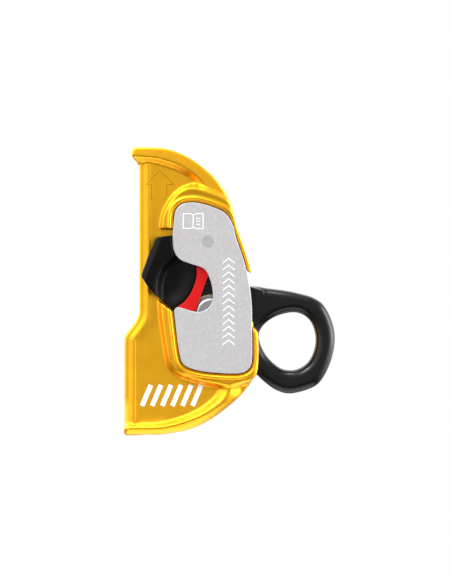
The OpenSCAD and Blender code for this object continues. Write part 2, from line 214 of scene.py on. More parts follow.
ink = finish_of("white_pad_print", "#F2F1F0", "#FFFFFF", 2.0, 0.3, 0.004,
                0.55, 0.05, IOR=1.5)
# painted shade: the darker gold of the engraved arrow stands for the shade in its groove, which
# the raised strokes do not cut
groove_shade_gold = finish_of("engraved_line_painted_groove_shade", "#C27E00", "#D89406", 2.0, 0.3, 0.004,
                 0.5, 0.05, Metallic=1.0)
print("finishes:", sorted(m.name for m in bpy.data.materials))

# %% [markdown]
# ## Curves and flat distances
#
# A forging has no sharp steps: ribs, lips and spine run into each other in
# fillets. Such a shape is hard to bevel by hand, but easy to write as a
# distance field: every point in space gets its distance to the surface,
# negative inside, and rounded unions and cuts of such fields make fillets by
# themselves. The outlines are smooth curves through a few points, and the
# first helper measures the distance to such an outline in the X-Z plane.

# %% Curve and distance helpers


def curve(points, steps=6, closed=False):
    """A smooth curve through points, as an array of points."""
    p = [np.array(q, float) for q in points]
    n = len(p)
    at = (lambda i: p[i % n]) if closed else (lambda i: p[min(max(i, 0), n - 1)])
    out = []
    for i in range(n if closed else n - 1):
        a, b, c, d = at(i - 1), at(i), at(i + 1), at(i + 2)
        for t in np.arange(steps) / steps:
            out.append(0.5 * (2 * b + (c - a) * t + (2 * a - 5 * b + 4 * c - d) * t * t
                              + (3 * b - a - 3 * c + d) * t ** 3))
    return np.array(out if closed else out + [p[-1]])


def flat_distance(outline, x, z):
    """Signed distance to a closed outline for every (x, z), negative inside."""
    best = np.full(np.broadcast(x, z).shape, 1e9)
    inside = np.zeros(best.shape, bool)
    for (ax, az), (bx, bz) in zip(outline, np.roll(outline, -1, axis=0)):
        ex, ez = bx - ax, bz - az
        length2 = ex * ex + ez * ez
        if length2 < 1e-12:
            continue
        t = np.clip(((x - ax) * ex + (z - az) * ez) / length2, 0, 1)
        best = np.minimum(best, (x - ax - t * ex) ** 2 + (z - az - t * ez) ** 2)
        if az != bz:
            inside ^= ((az > z) != (bz > z)) & (x < (z - az) / ez * ex + ax)
    return np.where(inside, -np.sqrt(best), np.sqrt(best))


def round_and(a, b, r):
    """Where both fields are inside, with the outer edge rounded to radius r."""
    corner = np.hypot(np.maximum(a + r, 0), np.maximum(b + r, 0))
    return np.minimum(-r, np.maximum(a, b)) + corner


def round_or(a, b, r):
    """Where either field is inside, with a fillet of radius r between them."""
    corner = np.hypot(np.maximum(r - a, 0), np.maximum(r - b, 0))
    return np.maximum(r, np.minimum(a, b)) - corner


def ease(t):
    """0 to 1 with a soft start and end."""
    t = np.clip(t, 0, 1)
    return t * t * (3 - 2 * t)


# %% [markdown]
# ## From field to mesh
#
# The field is sampled on a grid. Wherever its sign changes between two grid
# points, the surface passes. Each grid cell that the surface crosses gets one
# vertex at the mean of its crossings, and each crossed grid edge gets one
# quad, which joins the four cells around it. This is the surface nets method,
# and it gives an even, closed quad mesh that shades smoothly.

# %% Surface nets


def skin(name, field, low, high, step):
    """A closed mesh object of the zero surface of field(x, y, z) in a box."""
    axes = [np.arange(a, b + step, step) for a, b in zip(low, high)]
    f = field(axes[0][:, None, None], axes[1][None, :, None], axes[2][None, None, :])
    f = np.where(np.abs(f) < 1e-6, 1e-6, f)
    size = np.array(f.shape)
    cells = size - 1
    total = [np.zeros(cells.prod()) for _ in range(3)]
    count = np.zeros(cells.prod())
    rings = []
    for axis in range(3):
        a, b = (axis + 1) % 3, (axis + 2) % 3
        first = [slice(None)] * 3
        last = [slice(None)] * 3
        first[axis], last[axis] = slice(0, -1), slice(1, None)
        f0, f1 = f[tuple(first)], f[tuple(last)]
        edge = np.argwhere((f0 < 0) != (f1 < 0))
        ok = ((edge[:, [a, b]] > 0) & (edge[:, [a, b]] < size[[a, b]] - 1)).all(1)
        edge = edge[ok]
        v0, v1 = f0[tuple(edge.T)], f1[tuple(edge.T)]
        at = edge.astype(float)
        at[:, axis] += v0 / (v0 - v1)
        ring = []
        for da, db in ((0, 0), (-1, 0), (-1, -1), (0, -1)):
            cell = edge.copy()
            cell[:, a] += da
            cell[:, b] += db
            key = np.ravel_multi_index(tuple(cell.T), tuple(cells))
            ring.append(key)
            count += np.bincount(key, minlength=len(count))
            for k in range(3):
                total[k] += np.bincount(key, weights=at[:, k], minlength=len(count))
        ring = np.stack(ring, 1)
        ring[v0 > 0] = ring[v0 > 0][:, ::-1]
        rings.append(ring)
    used = count > 0
    number = np.cumsum(used) - 1
    at = np.stack([t[used] / count[used] for t in total], 1)
    points = np.clip(metres(np.array(low) + at * step), cad_box[0], cad_box[1])
    mesh = bpy.data.meshes.new(name)
    mesh.from_pydata(points.tolist(), [], number[np.concatenate(rings)].tolist())
    mesh.shade_smooth()
    piece = bpy.data.objects.new(name, mesh)
    bpy.context.scene.collection.objects.link(piece)
    print(name, len(mesh.vertices), "vertices")
    return piece


def dress(piece, body, material, slot, *nodes):
    """Give a piece its finish and its body, and hide the CAD nodes that it stands for."""
    piece.data.materials.append(material)
    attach(piece, body)
    if nodes:
        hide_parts(*nodes)
    return piece


# %% [markdown]
# ## The forged body
#
# The body is a U in section: a spine behind the rope and two cheeks. Seen from
# the front it has a long straight back, which steps outwards below the cam to
# give the rope room, and a bow-shaped right side. Round both mouths runs a
# lip, highest at its inner ridge and sloping away to the edge. Between the
# lips lies a sunk panel, and a raised rib frames the pocket of the plate.

# %% Outlines of the body
silhouette = np.concatenate([
    curve([(-36.9, 80.5), (-28, 80.5), (-20, 79.5), (-10, 75.2), (0, 67.5), (5.5, 60.8),
           (9.2, 54.2), (12.5, 42), (17.5, 27.3), (20, 18.5)]),
    curve([(20.3, 14), (20.3, 4), (20.3, -5), (20.7, -6.6), (22.1, -8.6), (22.8, -11.5),
           (22.8, -26.5), (20, -32.7), (12.5, -41.7), (0, -51.4), (-12, -57), (-25, -59.5)]),
    curve([(-33, -59.5), (-40.3, -59.5), (-42.1, -58.6), (-42.5, -57), (-42.1, -54.4),
           (-42, -51), (-42, -15), (-41.2, -10.6), (-39.5, -8), (-37.4, -5.2), (-35.8, -2.5),
           (-34.8, 1), (-34.8, 10), (-34.8, 68.5), (-35.1, 71.4), (-36.2, 73.6), (-37.8, 75.3),
           (-38.5, 77.2), (-38.2, 79.6)]),
])
# toe of both lips, where the sunk panel ends
lip_toe = np.concatenate([
    curve([(-60, 72.4), (-40, 72.4), (-29, 72.2), (-24, 71.2), (-19, 69.6), (-15, 67.8),
           (-10.4, 65.1), (-9.2, 63.8), (-8.6, 61)]),
    [(-4, 40), (-4, -30)],
    curve([(-1, -34.5), (0.6, -35.8), (1.6, -37.2), (1.5, -39), (0, -41), (-5, -45.2),
           (-10, -48), (-15, -50), (-20, -51.4), (-25, -52.2), (-30, -52.6), (-40, -52.8),
           (-60, -52.8)]),
])
# crest of both lips
lip_crest = np.concatenate([
    curve([(-60, 76.7), (-40, 76.7), (-29.5, 76.2), (-24, 75.3), (-18, 73.6), (-15, 72.3),
           (-10, 69.6), (-5, 65.4), (-1, 60.8), (1.2, 57)]),
    [(4, 40), (5, -25)],
    curve([(7.6, -32), (8.7, -34.4), (9.1, -37), (8.2, -39.7), (6, -42.5), (3, -45),
           (0, -47), (-5, -49.9), (-10, -51.9), (-15, -53.6), (-20, -54.9), (-25, -55.7),
           (-30, -55.9), (-40, -55.9), (-60, -55.9)]),
])
# toe and shoulder of the rib round the pocket
rib_toe = curve([
    (-24.9, 40), (-24.3, 46), (-22.6, 51.2), (-19.6, 56.2), (-15.6, 60.2), (-11.5, 62.2),
    (-8.6, 63), (-5, 62.6), (0, 60.4), (5, 58.4), (9.5, 55), (16, 44), (21, 30), (26, 16),
    (27, 0), (27, -20), (24, -31), (15, -36), (6, -36.8), (0, -36.3), (-5, -35),
    (-10, -33.3), (-15, -31.6), (-19, -29), (-21.2, -26), (-22.4, -22), (-23.4, -15),
    (-24.6, -8), (-25.5, -1), (-25.8, 8), (-25.6, 25)], closed=True)
rib_shoulder = curve([
    (-23.3, 40), (-22.8, 46), (-21.2, 50.4), (-18.4, 54.7), (-14.6, 58.4), (-10, 60.3),
    (-5, 59.3), (0, 57.6), (4.5, 55.8), (9, 52.6), (15, 42), (20, 28), (25, 14),
    (26, 0), (26, -18), (22.6, -29.2), (15, -32.6), (8, -32.8), (0, -32.3), (-6, -31.3),
    (-10.5, -30), (-14.4, -28.4), (-17.2, -26.4), (-19.2, -23.5), (-20.3, -19.5),
    (-21, -15), (-22, -8), (-22.8, -1), (-23.4, 8), (-23.6, 25)], closed=True)
plate_blank = curve([
    (-18, 45), (-17.2, 49.5), (-14.5, 52.6), (-10, 53.7), (-5, 53.2), (3, 50.7), (7.5, 48),
    (10.5, 43), (12.4, 36), (16, 25.4), (18.5, 15), (19.8, 4), (20, -10), (20, -22),
    (18.8, -26.5), (15, -29), (8, -29.3), (-3, -28.4), (-10.5, -26.6), (-13.8, -24.2),
    (-15.2, -20), (-16.7, -9), (-17.9, 1)])
catch_gap = np.array([(-40, 41.6), (-19, 40.95), (-14, 40.3), (-14, -2.1), (-19.4, 1.5),
                      (-22, 3.3), (-25.2, 5.8), (-40, 19.4)])
spine_line = curve([(-42, -62), (-42, -15), (-41.2, -10.6), (-39.5, -8), (-37.4, -5.2),
                    (-35.8, -2.5), (-34.8, 1), (-34.8, 12), (-34.8, 84)], 10)
STUDS = [(-8.5, 46.5), (-8, -19), (12.5, -20)]
print("body outline:", len(silhouette), "points, high",
      round(np.ptp(silhouette[:, 1]), 1), "mm")

# %% [markdown]
# ## The slot
#
# In each cheek the axle lies in an open seat. A horn of solid cheek stands
# beside the seat, and the slot leads round it and out to the right. The cover
# plate hides most of it, but its edge shows beside the axle's end.

# %% Slot
HORN = np.array([10.6, 3.4])
PATH_R = float(np.hypot(*HORN))
SLOT_HALF = 7.35
SLOT_FLOOR = -4.0
SEAT_R = 7.2


def slot_distance(x, z):
    """The open slot that the axle's end takes from its seat round the horn."""
    seat = np.hypot(x, z) - SEAT_R
    way = np.abs(np.hypot(x - HORN[0], z - HORN[1]) - PATH_R) - SLOT_HALF
    way = np.maximum(way, SLOT_FLOOR - z)
    behind = np.array([(0, 0), HORN, HORN + [0, -40], (-40, -40), (-40, 13.3)])
    solid = flat_distance(behind, x, z)
    foot = np.maximum(np.abs(x - HORN[0]) - (PATH_R - SLOT_HALF), z - HORN[1])
    return np.minimum(seat, np.maximum(np.maximum(way, -solid), -foot))


print("slot runs round the horn at radius", round(PATH_R, 2), "mm")

# %% [markdown]
# ## Relief of the cheek
#
# Lips and rib are heights over the cheek's plane. A lip climbs softly from its
# toe to its crest and falls away beyond it. The rib has a steep rounded wall on
# the outside, and inside it a bead and a ledge that lead down to the plate.

# %% Cheek height


def between(outer, inner):
    """0 on the outer line, 1 on the inner line, and even in between."""
    a, b = np.clip(-outer, 0, None), np.clip(inner, 0, None)
    return np.where(inner <= 0, 1.0, a / np.maximum(a + b, 1e-6))


def cheek_height(x, z):
    """Height of the cheek's outer face, and the distance from the plate's edge."""
    toe, top = flat_distance(lip_toe, x, z), flat_distance(lip_crest, x, z)
    climb = ease(between(-toe, -top))
    # beyond its crest a lip falls away to the edge, the lower one more
    fall = np.where(z > 0, 0.12, 0.62) * np.clip(top - 0.3, 0, None)
    lip = np.clip((LIP_Y - OUT_Y) * climb - fall, 0, None)
    out, shoulder = flat_distance(rib_toe, x, z), flat_distance(rib_shoulder, x, z)
    far = flat_distance(plate_blank, x, z)
    # inside the shoulder the rib dips a little, rises to a bead and drops to a ledge
    inner = np.interp(far, [0.3, 0.5, 0.95, 1.8, 2.1, 2.4, 3.0, 3.6, 7],
                      [-1.25, -1.15, -1.1, -0.1, 0.0, -0.1, -0.62, -0.75, 0.1])
    top_level = RIB_Y - OUT_Y + np.minimum(inner, 0.0)
    wall = np.sin(np.clip(between(out, shoulder), 0, 1) * math.pi / 2) ** 1.3
    rib = lip + (top_level - lip) * wall
    return OUT_Y + np.where(out < 0, np.maximum(rib, lip), lip), far


crest_y = float(cheek_height(np.array([[0.0]]), np.array([[-47.0]]))[0].max())
print("the lower lip's crest stands at", round(crest_y, 2), "mm")

# %% [markdown]
# ## Body field
#
# Silhouette, spine, relief, stud bosses, rope trough and slot are joined here
# with rounded unions and cuts. The spine's edge has a large radius, and a small
# step runs down beside it, which gives way where the catch's wing sweeps over.

# %% Body
STEP_OUT, STEP_IN = 0.35, 0.65  # heights of the two flights of the step
SPINE_WALL = 3.0
MOUTH_FLARE, MOUTH_DEEP = 2.4, 8.0
BODY_TOP, BODY_FOOT = 80.5, -59.5
BOSS_R = 4.0


def body_field(x, y, z):
    """Distance field of the whole forging."""
    ay = np.abs(y)
    flat_x, flat_z = x[:, 0, :], z[0, :, :]
    lift = lambda d: d[:, None, :]
    edge = lift(flat_distance(silhouette, flat_x, flat_z))
    gap = lift(flat_distance(catch_gap, flat_x, flat_z))
    height, far = cheek_height(flat_x, flat_z)
    height, far = lift(height), lift(far)
    # the spine's rounded edge ends in a small step down to the panel
    spine = ease((-19 - x) / 9)
    plain = round_and(edge, ay - OUT_Y, 1.0 + 4.0 * spine)
    step = STEP_OUT * ease((edge + 5.5) / 0.5) + STEP_IN * ease((edge + 9.4) / 4.2)
    # behind the wing the step gives way to the catch's underside, at any angle
    step = step * (1 - ease((x + 30.6) / 1.2) * ease((z - 9) / 1.5) * ease((23 - z) / 2))
    bead = round_and(edge, ay - OUT_Y - step, 1.0 + 4.4 * spine)
    plain = np.minimum(plain, np.maximum(bead, x + 22))
    # the relief's steepness turns a height difference into a distance
    sx = np.gradient(height[:, 0, :], flat_x[1, 0] - flat_x[0, 0], axis=0)
    sz = np.gradient(height[:, 0, :], flat_z[0, 1] - flat_z[0, 0], axis=1)
    steep = np.sqrt(1 + np.minimum(sx ** 2 + sz ** 2, 9))
    relief = (ay - height) / lift(steep)
    arm_gap = np.maximum(np.maximum(14 - x, -5.5 - z), z - 18.5)
    no_rib = np.minimum(gap, arm_gap)
    low = ay - OUT_Y
    relief = np.maximum(relief, np.minimum(low, -no_rib))
    relief = np.maximum(relief, np.minimum(low, 0.3 - far))
    relief = round_and(edge, relief, 1.0 + 1.8 * ease((-38 - z) / 8))
    solid = round_or(plain, relief, 0.6)
    for px, pz in STUDS:
        boss = np.maximum(np.hypot(x - px, z - pz) - BOSS_R, ay - PLATE_Y0)
        solid = np.minimum(solid, boss)
    # rope trough and the gap between the cheeks, flared at both mouths
    wall_x = np.interp(flat_z, spine_line[:, 1], spine_line[:, 0])[0][None, None, :]
    rope = wall_x + SPINE_WALL + IN_Y
    mouth = (ease(1 - (BODY_TOP - z) / MOUTH_DEEP)
             + ease(1 - (z - BODY_FOOT) / MOUTH_DEEP))
    half = IN_Y + MOUTH_FLARE * mouth
    lean = np.gradient(wall_x[0, 0], flat_z[0, 1] - flat_z[0, 0])[None, None, :]
    left = (np.hypot(x - rope, y) - half) / np.sqrt(1 + lean ** 2)
    channel = np.where(x > rope, ay - half, left)
    solid = round_and(solid, -channel, 0.6)
    slot = lift(slot_distance(flat_x, flat_z))
    slot = np.maximum(slot, IN_Y - 2 - ay)
    return round_and(solid, -slot, 0.4)


BODY_STEP = 0.5
forging = skin("forged_body", body_field, (-44.4, -17.4, -61.2), (24.6, 17.4, 82.2),
               BODY_STEP)
dress(forging, "body", gold, "gold_anodised", "frame")

# %% [markdown]
# ## The cam and its eye
#
# The cam is one forging too: a round hub with a ridged nose that presses the
# rope, an arm, and an egg-shaped eye for a connector. The ring's edges are
# rounded so far that its section is nearly an oval, so a connector can swing
# in it and its right side shows one broad line of light.

# %% Cam
eye_outer = curve([
    (19, 12.9), (27.5, 12.1), (37.5, 10.8), (45, 9.1), (50, 7.5), (54.6, 4.2), (58.2, -2),
    (60.2, -9), (60.2, -16), (58.3, -24), (55, -31), (51, -35.5), (44, -38.3), (37.5, -39.3),
    (32, -37.7), (27.5, -34.8), (22.2, -30), (17.5, -24), (12, -14), (4, -2), (8, 8)],
    closed=True)
eye_hole = curve([
    (23.3, -12), (24.6, -7.4), (28, -3.8), (33, -1.1), (39.5, 0.3), (44.6, -0.7),
    (48.7, -4.4), (50.8, -10.5), (50.5, -17), (47.6, -23.5), (42.2, -27.3), (35.8, -27.5),
    (30.6, -24.5), (26, -19.2)], closed=True)
HUB_R, CAM_Y, EYE_Y, EYE_ROUND = 14.5, 6.2, 5.6, 4.6
# the nose is a spiral: its radius falls by this much for each degree from the tip
TIP_R, FALL = 31.4, 0.2545
HEEL_Y, RIM_GAP = 4.6, 0.4
rope_line = -AXLE_X
polar = lambda r, a: (r * math.cos(math.radians(a)), r * math.sin(math.radians(a)))
nose = np.array(
    [polar(TIP_R - FALL * (180 - a), a) for a in range(112, 181, 2)]
    + [polar(TIP_R, 184), polar(TIP_R - 1.6, 188)]
    + curve([polar(27, 195), polar(20, 212), polar(HUB_R, 235)]).tolist() + [(0, 0)])
heel = np.array([polar(r, a) for a, r in (
    (58, 14), (72, 17.3), (84, 18.3), (94, 18.2), (104, 17.3), (112, 16.6), (124, 17),
    (124, 12))] + [(0, 0)])
arm_root = np.array([(0, 14.4), (10, 13.6), (20, 12.7), (25.5, 10.4), (24, 5), (22.5, 0),
                     polar(14, -35), polar(14, -60), (0, 0)])
ridges = [polar(TIP_R - FALL * max(0, 180 - a) + 0.35, a) for a in range(122, 183, 6)]


def cam_field(x, y, z):
    """Distance field of hub, nose, arm and eye."""
    ay = np.abs(y)
    flat_x, flat_z = x[:, 0, :], z[0, :, :]
    lift = lambda d: d[:, None, :]
    hub = round_and(np.hypot(x, z) - HUB_R, ay - CAM_Y, 0.9)
    tooth = lift(flat_distance(nose, flat_x, flat_z))
    for rx, rz in ridges:
        tooth = np.maximum(tooth, 1.05 - np.hypot(x - rx, z - rz))
    root = lift(flat_distance(arm_root, flat_x, flat_z))
    outer = lift(flat_distance(eye_outer, flat_x, flat_z))
    hole = lift(flat_distance(eye_hole, flat_x, flat_z))
    inner_round = round_and(-hole, ay - EYE_Y, EYE_ROUND)
    ring = np.maximum(round_and(outer, ay - EYE_Y, EYE_ROUND), inner_round)
    # the nose's rim is round, so that it dips into the trough without touching it
    reach = np.hypot(x, z)
    rim = np.hypot(np.maximum(reach + rope_line, 0), y) - (IN_Y - RIM_GAP)
    tooth = np.maximum(round_and(tooth, ay - CAM_Y, 0.8), rim)
    solid = np.minimum(hub, tooth)
    thin = lift(flat_distance(heel, flat_x, flat_z))
    solid = np.minimum(solid, round_and(thin, ay - HEEL_Y, 0.5))
    solid = round_or(solid, ring, 1.0)
    root = np.maximum(round_and(root, ay - CAM_Y, 0.6), inner_round)
    return round_or(solid, root, 1.2)


CAM_STEP = 0.5
cam = skin("forged_cam", cam_field, (-33, -8, -42), (63, 8, 18), CAM_STEP)
dress(cam, "cam_assembly", black, "black_anodised", "cam")

# %% [markdown]
# ## Cover plates
#
# Each plate is punched from sheet and its edge is broken by tumbling. A solid
# with two small chamfer steps round its outline catches the same thin edge
# light. The pocket around it stays dark because the plate sits in its rib.

# %% Plates
PLATE_EDGE = 0.3
plate_line = np.concatenate([
    plate_blank,
    curve([(-17, 2.5), (-15.6, 2.9), (-12.5, 2), (-8, 0.8), (-4.5, 0.8), (-1, 2.7),
           (0.7, 6), (0.9, 10), (0, 15), (-1.9, 19.8), (-4.6, 22.2), (-9.5, 23.8),
           (-14.6, 25.8), (-17.5, 29.2), (-18.6, 34), (-18.4, 40)]),
])


def inset(outline, depth):
    """The outline moved inwards by depth; it runs clockwise seen from the front."""
    before, after = np.roll(outline, 1, axis=0), np.roll(outline, -1, axis=0)
    along = after - before
    along /= np.linalg.norm(along, axis=1)[:, None]
    return outline + depth * np.stack([along[:, 1], -along[:, 0]], 1)


def sheet_part(name, outline, inner_y, outer_y, edge, side):
    """A flat part with broken edges, from inner_y to outer_y on one side."""
    levels = [(inner_y, 0.0), (outer_y - edge, 0.0), (outer_y - 0.35 * edge, 0.3 * edge),
              (outer_y, edge)]
    work = bmesh.new()
    loops = []
    for level, depth in levels:
        flat = inset(outline, depth)
        spots = metres([(px, side * level, pz) for px, pz in flat])
        loops.append([work.verts.new(p) for p in spots])
    for low, high in zip(loops, loops[1:]):
        for i in range(len(low)):
            j = (i + 1) % len(low)
            work.faces.new((low[i], low[j], high[j], high[i]))
    work.faces.new(loops[0])
    work.faces.new(loops[-1])
    bmesh.ops.recalc_face_normals(work, faces=work.faces)
    mesh = bpy.data.meshes.new(name)
    work.to_mesh(mesh)
    work.free()
    piece = bpy.data.objects.new(name, mesh)
    bpy.context.scene.collection.objects.link(piece)
    return piece


SIDES = (("front", -1), ("rear", 1))
plates = {}
for side_name, side in SIDES:
    plate = plates[side] = sheet_part(side_name + "_plate", plate_line, PLATE_Y0,
                                      PLATE_Y1, PLATE_EDGE, side)
    dress(plate, "body", grey, "grey_anodised", side_name + "_cover_plate")
    print(plate.name, len(plate.data.vertices), "vertices")

# %% [markdown]
# ## Catches
#
# A catch is moulded nylon. Its thin blade runs under the plate to the rivet,
# and its right-hand edge is the straight line that locks the axle. On the left
# stands the wing that the thumb pushes, with two facets, and beside it a deep
# thumb dish. The field is a height over the X-Z plane: a blade, a wing and the
# dish between them.

# %% Catch
EDGE_TILT = math.radians(19.4)
edge_way = np.array([math.sin(EDGE_TILT), math.cos(EDGE_TILT)])
edge_foot = -np.array([math.cos(EDGE_TILT), -math.sin(EDGE_TILT)]) * 7.35
BLADE_Y1, BLADE_Y0 = 13.9, 10.55
DISH_Y, STRIP_Y, STRIP_BED_Y = 11.9, 12.6, 12.8
catch_line = np.array(
    [edge_foot + 22 * edge_way, edge_foot - 1.6 * edge_way,
     edge_foot - 1.6 * edge_way + [-2.4, -0.9], (-17.7, 1.4), (-22.3, 4.6), (-28, 10),
     (-31, 13.5)]
    + [(-31.5 + 2.2 * math.cos(a), 18.3 + 2.2 * math.sin(a))
       for a in np.radians(np.linspace(215, 160, 7))]
    + [(-30, 29), (-26.6, 36.3), (-25.8, 36.9), (-19, 37.7), (-4.5, 40.4)])
strip_line = np.concatenate([
    [edge_foot + 20.4 * edge_way, edge_foot - 1.6 * edge_way],
    curve([(-13, 1.4), (-16, 3.1), (-13, 5.4), (-9.4, 10.4), (-7, 17.5), (-7.1, 23)])])
WING_TILT = math.radians(21.5)
# crest between the wing's inner facet and the thumb dish
dish_line = np.concatenate([
    curve([(-13, 44), (-16.6, 32), (-18.8, 28.6), (-22.6, 25.2), (-25, 22), (-26.4, 18.4),
           (-27.3, 15), (-27.6, 11), (-27, 4)]),
    [(-20, -10), (10, -10), (10, 44)]])


def catch_field(x, y, z):
    """Distance field of the front catch, with y pointing out of the side."""
    flat_x, flat_z = x[:, 0, :], z[0, :, :]
    line = flat_distance(catch_line, flat_x, flat_z)
    line = np.minimum(line, np.hypot(flat_x - RIVET[0], flat_z - RIVET[1]) - 6.3)
    # distance from the wing's outer edge
    u = (flat_x + 33.8) * math.cos(WING_TILT) - (flat_z - 18) * math.sin(WING_TILT)
    top = np.interp(u, [-2, 0, 2.5, 7, 12, 40], [14.6, 15.5, 17.1, 16.7, 16.2, 16.2])
    # the dish drops from its crest and comes up again at the red strip
    dish = flat_distance(dish_line, flat_x, flat_z)
    strip = flat_distance(strip_line, flat_x, flat_z)
    bottom = DISH_Y + 2.0 * ease(1 - strip / 10) ** 1.5
    top = top + (bottom - top) * ease(-dish / 5.0)
    top = top - 0.35 * np.clip(1 + dish / 0.6, 0, 1) * (dish < 0)
    # whatever passes under the plate, at any angle of the catch, stays below it
    for degrees in (0, 3, 6, 9):
        c, n = math.cos(math.radians(degrees)), math.sin(math.radians(degrees))
        rx, rz = flat_x - RIVET[0], flat_z - RIVET[1]
        turned_x, turned_z = RIVET[0] + rx * c + rz * n, RIVET[1] + rz * c - rx * n
        cover = flat_distance(plate_line, turned_x, turned_z)
        top = np.where(cover < 0.35, np.minimum(top, BLADE_Y1), top)
    hub = ease((flat_x + 17) / 5) * ease((flat_z - 25) / 4)
    top = top * (1 - hub) + BLADE_Y1 * hub
    top = np.where(strip < 0.3, np.minimum(top, STRIP_BED_Y), top)
    top, line = top[:, None, :], line[:, None, :]
    # the wing's underside stays clear of the bead beside the spine
    under_y = BLADE_Y0 + 1.3 * ease((-24.3 - x) / 1.6)
    solid = round_and(line, (y - top) / 1.15, 0.6)
    return np.maximum(solid, under_y - y)


CATCH_STEP = 0.36
for side_name, side in SIDES:
    catch = skin(side_name + "_catch_moulding", catch_field, (-36, 9.6, -3), (7, 18.6, 43.4),
                 CATCH_STEP)
    if side < 0:
        catch.data.transform(Matrix.Scale(-1, 4, (0, 1, 0)))
        catch.data.flip_normals()
    dress(catch, side_name + "_catch_body", nylon, "black_nylon", side_name + "_catch")
    strip = sheet_part(side_name + "_indicator_strip", strip_line, STRIP_Y, BLADE_Y1, 0.25,
                       side)
    dress(strip, side_name + "_catch_body", red, "red_nylon",
          side_name + "_catch_indicator")

# %% [markdown]
# ## Turned parts
#
# Axle, washers, rivets, sleeves and studs are all turned, so one function
# spins a half-section about Y. Small steps at the corners stand for the
# chamfers that a lathe leaves, and they draw the bright ring on the axle's end.

# %% Turned parts


def turned(name, at, section, steps=72):
    """A solid of revolution about Y at (x, z); section is a list of (y, radius)."""
    work = bmesh.new()
    loops = []
    for y, r in section:
        angles = np.linspace(0, 2 * math.pi, steps, endpoint=False)
        ring = [(at[0] + r * math.cos(a), y, at[1] + r * math.sin(a)) for a in angles]
        loops.append([work.verts.new(p) for p in metres(ring)])
    closed = section[0] == section[-1]
    if closed:
        for v in loops.pop():
            work.verts.remove(v)
    pairs = list(zip(loops, loops[1:])) + ([(loops[-1], loops[0])] if closed else [])
    for low, high in pairs:
        for i in range(steps):
            j = (i + 1) % steps
            work.faces.new((low[i], low[j], high[j], high[i]))
    if not closed:
        work.faces.new(loops[0])
        work.faces.new(loops[-1])
    bmesh.ops.recalc_face_normals(work, faces=work.faces)
    mesh = bpy.data.meshes.new(name)
    work.to_mesh(mesh)
    work.free()
    mesh.shade_smooth()
    mesh.set_sharp_from_angle(angle=math.radians(28))
    piece = bpy.data.objects.new(name, mesh)
    bpy.context.scene.collection.objects.link(piece)
    return piece


AXLE_HALF, AXLE_R = 13.9, 7.15
half_axle = [(0.0, AXLE_R), (AXLE_HALF - 0.75, AXLE_R), (AXLE_HALF - 0.5, AXLE_R - 0.12),
             (AXLE_HALF - 0.1, AXLE_R - 0.7), (AXLE_HALF - 0.02, AXLE_R - 0.85),
             (AXLE_HALF - 0.12, AXLE_R - 1.0), (AXLE_HALF - 0.12, 1.0)]
rear_half = half_axle[1:]
axle = turned("axle_pin", (0, 0), [(-y, r) for y, r in reversed(rear_half)] + rear_half, 96)
dress(axle, "cam_assembly", steel, "stainless", "axle")
for side_name, s in SIDES:
    washer = turned(side_name + "_washer", (0, 0), [
        (s * 6.2, 7.16), (s * 6.95, 7.16), (s * 6.95, 8.8), (s * 6.8, 9.0), (s * 6.2, 9.0),
        (s * 6.2, 7.16)])
    dress(washer, "cam_assembly", steel, "stainless", side_name + "_axle_washer")
    face = PLATE_Y1 + 0.02
    rivet = turned(side_name + "_rivet_head", RIVET, [
        (s * 7.3, 2.0), (s * 7.3, 3.1), (s * 8.2, 3.1), (s * 8.2, 2.15), (s * 14.8, 2.15),
        (s * 14.8, 3.1), (s * (face - 0.12), 3.1), (s * face, 2.95), (s * face, 0.5)])
    dress(rivet, "body", rivet_steel, "stainless", side_name + "_catch_rivet")
    sleeve = turned(side_name + "_spacer_sleeve", RIVET, [
        (s * 10.3, 2.25), (s * 14.1, 2.25), (s * 14.1, 3.5), (s * 14.0, 3.6), (s * 10.4, 3.6),
        (s * 10.3, 3.5), (s * 10.3, 2.25)])
    dress(sleeve, "body", steel, "stainless", side_name + "_catch_sleeve")
    for i, at in enumerate(STUDS):
        stud = turned(f"{side_name}_stud_{i}", at, [
            (s * 7.4, 1.5), (s * 7.6, 1.8), (s * 14.1, 1.8), (s * 14.1, 1.0)], 32)
        # the CAD node holds all three studs, so only the first one hides it
        nodes = [side_name + "_plate_studs"] if i == 0 else []
        dress(stud, "body", steel, "stainless", *nodes)

# %% [markdown]
# ## Springs
#
# Springs are wound from round wire. A curve with a round bevel is the plainest
# way to draw a wire, because the coil is then one smooth path.

# %% Springs


def wound(name, at, radius, wire, y0, y1, turns, start):
    """A coil of round wire about Y, as a mesh tube."""
    line = bpy.data.curves.new(name, "CURVE")
    line.dimensions = "3D"
    line.bevel_depth = wire * MM
    line.bevel_resolution = 3
    line.use_fill_caps = True
    steps = int(turns * 32)
    spline = line.splines.new("POLY")
    spline.points.add(steps)
    for k in range(steps + 1):
        a = math.radians(start) + turns * 2 * math.pi * k / steps
        spot = (at[0] + radius * math.cos(a), y0 + (y1 - y0) * k / steps,
                at[1] + radius * math.sin(a))
        spline.points[k].co = (*metres(spot), 1.0)
    holder = bpy.data.objects.new(name + "_path", line)
    bpy.context.scene.collection.objects.link(holder)
    bpy.context.view_layer.update()
    shape = holder.evaluated_get(bpy.context.evaluated_depsgraph_get())
    mesh = bpy.data.meshes.new_from_object(shape)
    bpy.data.objects.remove(holder)
    mesh.shade_smooth()
    piece = bpy.data.objects.new(name, mesh)
    bpy.context.scene.collection.objects.link(piece)
    return piece


closing = wound("closing_spring_coil", (0, 0), 8.45, 0.45, -5.45, -2.75, 2.5, 90)
dress(closing, "cam_assembly", wire_steel, "spring_steel", "cam_spring")
for side_name, side in SIDES:
    coil = wound(side_name + "_catch_spring_coil", RIVET, 4.35, 0.3, side * 10.91,
                 side * 12.06, 1.5, -85)
    dress(coil, side_name + "_catch_body", wire_steel, "spring_steel",
          side_name + "_catch_spring")
print("springs: closing", len(closing.data.vertices), "vertices, catch",
      len(coil.data.vertices))
